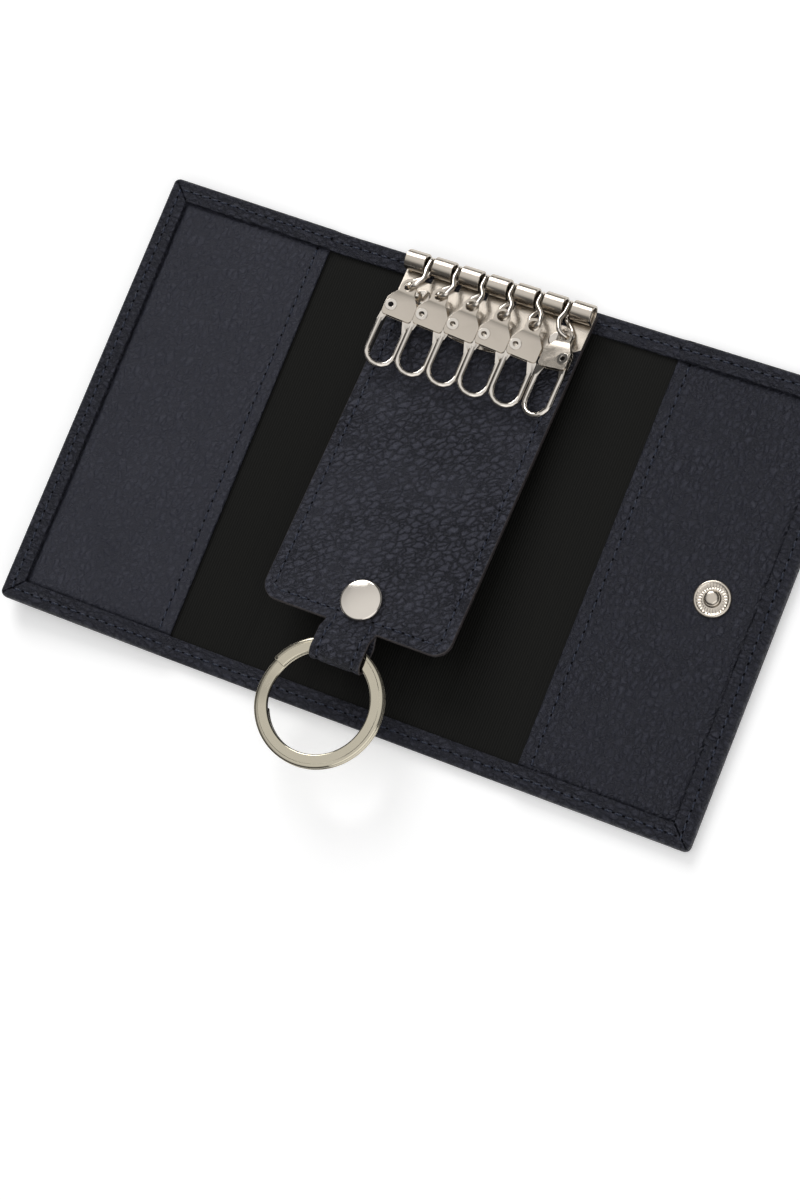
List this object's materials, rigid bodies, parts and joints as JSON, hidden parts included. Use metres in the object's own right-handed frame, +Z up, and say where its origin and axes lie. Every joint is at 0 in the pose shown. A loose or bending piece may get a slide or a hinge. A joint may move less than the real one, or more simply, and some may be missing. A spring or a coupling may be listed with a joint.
{
  "type": "key case",
  "caption": "Leather key case lying open: pocketed flaps fold round a lined centre panel with a lifting tongue that carries a bar of key hooks, a split ring and a snap",
  "frame": {"origin": "middle of the centre panel's underside, the face that lies on the table", "axes": "+X across the flaps to the right-hand flap, +Y towards the key bar, +Z up out of the open case"},
  "size_m": [0.174, 0.1213, 0.0159],
  "materials": {
    "navy_leather": "grained calf leather, semi-matt, navy",
    "ribbed_lining": "black ribbed woven lining with a slight sheen",
    "nickel_plated_steel": "warm nickel plate, polished"
  },
  "bodies": {
    "centre": {"centre_leather": "navy_leather", "centre_lining": "ribbed_lining", "tongue_stud": "nickel_plated_steel", "tongue_stud_washer": "nickel_plated_steel"},
    "left_spine": {"left_spine_leather": "navy_leather", "left_spine_lining": "ribbed_lining"},
    "left_flap": {"left_flap_leather": "navy_leather", "left_flap_lining": "ribbed_lining", "left_pocket": "navy_leather", "closure_socket": "nickel_plated_steel", "closure_socket_washer": "nickel_plated_steel"},
    "right_spine": {"right_spine_leather": "navy_leather", "right_spine_lining": "ribbed_lining"},
    "right_flap": {"right_flap_leather": "navy_leather", "right_flap_lining": "ribbed_lining", "right_pocket": "navy_leather", "closure_stud": "nickel_plated_steel", "closure_stud_washer": "nickel_plated_steel"},
    "tongue": {"tongue_front": "navy_leather", "tongue_back": "navy_leather", "tongue_cap": "nickel_plated_steel", "tongue_socket": "nickel_plated_steel", "key_plate": "nickel_plated_steel", "hinge_rod": "nickel_plated_steel", "plate_rivets": "nickel_plated_steel"},
    "ring": {"split_ring": "nickel_plated_steel"},
    "hanger_1": {"hanger_1": "nickel_plated_steel"},
    "hook_1": {"hook_body_1": "nickel_plated_steel", "hook_rivet_1": "nickel_plated_steel"},
    "loop_1": {"key_loop_1": "nickel_plated_steel"},
    "hanger_2": {"hanger_2": "nickel_plated_steel"},
    "hook_2": {"hook_body_2": "nickel_plated_steel", "hook_rivet_2": "nickel_plated_steel"},
    "loop_2": {"key_loop_2": "nickel_plated_steel"},
    "hanger_3": {"hanger_3": "nickel_plated_steel"},
    "hook_3": {"hook_body_3": "nickel_plated_steel", "hook_rivet_3": "nickel_plated_steel"},
    "loop_3": {"key_loop_3": "nickel_plated_steel"},
    "hanger_4": {"hanger_4": "nickel_plated_steel"},
    "hook_4": {"hook_body_4": "nickel_plated_steel", "hook_rivet_4": "nickel_plated_steel"},
    "loop_4": {"key_loop_4": "nickel_plated_steel"},
    "hanger_5": {"hanger_5": "nickel_plated_steel"},
    "hook_5": {"hook_body_5": "nickel_plated_steel", "hook_rivet_5": "nickel_plated_steel"},
    "loop_5": {"key_loop_5": "nickel_plated_steel"},
    "hanger_6": {"hanger_6": "nickel_plated_steel"},
    "hook_6": {"hook_body_6": "nickel_plated_steel", "hook_rivet_6": "nickel_plated_steel"},
    "loop_6": {"key_loop_6": "nickel_plated_steel"}
  },
  "joints": [
    {"name": "left_fold", "type": "hinge", "parent": "centre", "child": "left_spine", "pos_m": [-0.0246, 0, 0.0015], "axis": [0, 1, 0], "range_deg": [0, 90]},
    {"name": "left_flap_fold", "type": "hinge", "parent": "left_spine", "child": "left_flap", "pos_m": [-0.04, 0, 0.0015], "axis": [0, 1, 0], "range_deg": [0, 86]},
    {"name": "right_fold", "type": "hinge", "parent": "centre", "child": "right_spine", "pos_m": [0.0246, 0, 0.0015], "axis": [0, -1, 0], "range_deg": [0, 90]},
    {"name": "right_flap_fold", "type": "hinge", "parent": "right_spine", "child": "right_flap", "pos_m": [0.044, 0, 0.0015], "axis": [0, -1, 0], "range_deg": [0, 90]},
    {"name": "tongue_lift", "type": "hinge", "parent": "centre", "child": "tongue", "pos_m": [0, 0.0532, 0.0025], "axis": [-1, 0, 0], "range_deg": [-4.9, 108.5]},
    {"name": "ring_swing", "type": "hinge", "parent": "tongue", "child": "ring", "pos_m": [0, -0.03894, 0.01315], "axis": [-1, 0, 0], "range_deg": [-2, 13]},
    {"name": "hanger_1_lift", "type": "hinge", "parent": "tongue", "child": "hanger_1", "pos_m": [-0.01746, 0.05164, 0.00669], "axis": [-1, 0, 0], "range_deg": [0, 100]},
    {"name": "hook_1_swing", "type": "hinge", "parent": "hanger_1", "child": "hook_1", "pos_m": [-0.01973, 0.04472, 0.00869], "axis": [-0.2588, -0.064, -0.9638], "range_deg": [-8, 20]},
    {"name": "loop_1_open", "type": "hinge", "parent": "hook_1", "child": "loop_1", "pos_m": [-0.02186, 0.03917, 0.00962], "axis": [-0.2588, -0.064, -0.9638], "range_deg": [0, 70]},
    {"name": "hanger_2_lift", "type": "hinge", "parent": "tongue", "child": "hanger_2", "pos_m": [-0.01048, 0.05164, 0.00669], "axis": [-1, 0, 0], "range_deg": [0, 100]},
    {"name": "hook_2_swing", "type": "hinge", "parent": "hanger_2", "child": "hook_2", "pos_m": [-0.01184, 0.04472, 0.00869], "axis": [-0.2588, -0.064, -0.9638], "range_deg": [-8, 20]},
    {"name": "loop_2_open", "type": "hinge", "parent": "hook_2", "child": "loop_2", "pos_m": [-0.01396, 0.03917, 0.00962], "axis": [-0.2588, -0.064, -0.9638], "range_deg": [0, 70]},
    {"name": "hanger_3_lift", "type": "hinge", "parent": "tongue", "child": "hanger_3", "pos_m": [-0.00349, 0.05164, 0.00669], "axis": [-1, 0, 0], "range_deg": [0, 100]},
    {"name": "hook_3_swing", "type": "hinge", "parent": "hanger_3", "child": "hook_3", "pos_m": [-0.00395, 0.04472, 0.00869], "axis": [-0.2588, -0.064, -0.9638], "range_deg": [-8, 20]},
    {"name": "loop_3_open", "type": "hinge", "parent": "hook_3", "child": "loop_3", "pos_m": [-0.00607, 0.03917, 0.00962], "axis": [-0.2588, -0.064, -0.9638], "range_deg": [0, 70]},
    {"name": "hanger_4_lift", "type": "hinge", "parent": "tongue", "child": "hanger_4", "pos_m": [0.00349, 0.05164, 0.00669], "axis": [-1, 0, 0], "range_deg": [0, 100]},
    {"name": "hook_4_swing", "type": "hinge", "parent": "hanger_4", "child": "hook_4", "pos_m": [0.00395, 0.04472, 0.00869], "axis": [-0.2588, -0.064, -0.9638], "range_deg": [-8, 20]},
    {"name": "loop_4_open", "type": "hinge", "parent": "hook_4", "child": "loop_4", "pos_m": [0.00183, 0.03917, 0.00962], "axis": [-0.2588, -0.064, -0.9638], "range_deg": [0, 70]},
    {"name": "hanger_5_lift", "type": "hinge", "parent": "tongue", "child": "hanger_5", "pos_m": [0.01048, 0.05164, 0.00669], "axis": [-1, 0, 0], "range_deg": [0, 100]},
    {"name": "hook_5_swing", "type": "hinge", "parent": "hanger_5", "child": "hook_5", "pos_m": [0.01184, 0.04472, 0.00869], "axis": [-0.2588, -0.064, -0.9638], "range_deg": [0, 20]},
    {"name": "loop_5_open", "type": "hinge", "parent": "hook_5", "child": "loop_5", "pos_m": [0.00972, 0.03917, 0.00962], "axis": [-0.2588, -0.064, -0.9638], "range_deg": [0, 70]},
    {"name": "hanger_6_lift", "type": "hinge", "parent": "tongue", "child": "hanger_6", "pos_m": [0.01746, 0.05164, 0.00669], "axis": [-1, 0, 0], "range_deg": [0, 100]},
    {"name": "hook_6_swing", "type": "hinge", "parent": "hanger_6", "child": "hook_6", "pos_m": [0.01973, 0.04472, 0.00869], "axis": [-0.2588, 0.064, 0.9638], "range_deg": [0, 20]},
    {"name": "loop_6_open", "type": "hinge", "parent": "hook_6", "child": "loop_6", "pos_m": [0.02186, 0.03917, 0.00962], "axis": [-0.2588, 0.064, 0.9638], "range_deg": [0, 70]}
  ],
  "couplings": [
    {"joint": "left_flap_fold", "follows": "left_fold", "ratio": 0.95556},
    {"joint": "right_flap_fold", "follows": "right_fold", "ratio": 1}
  ]
}
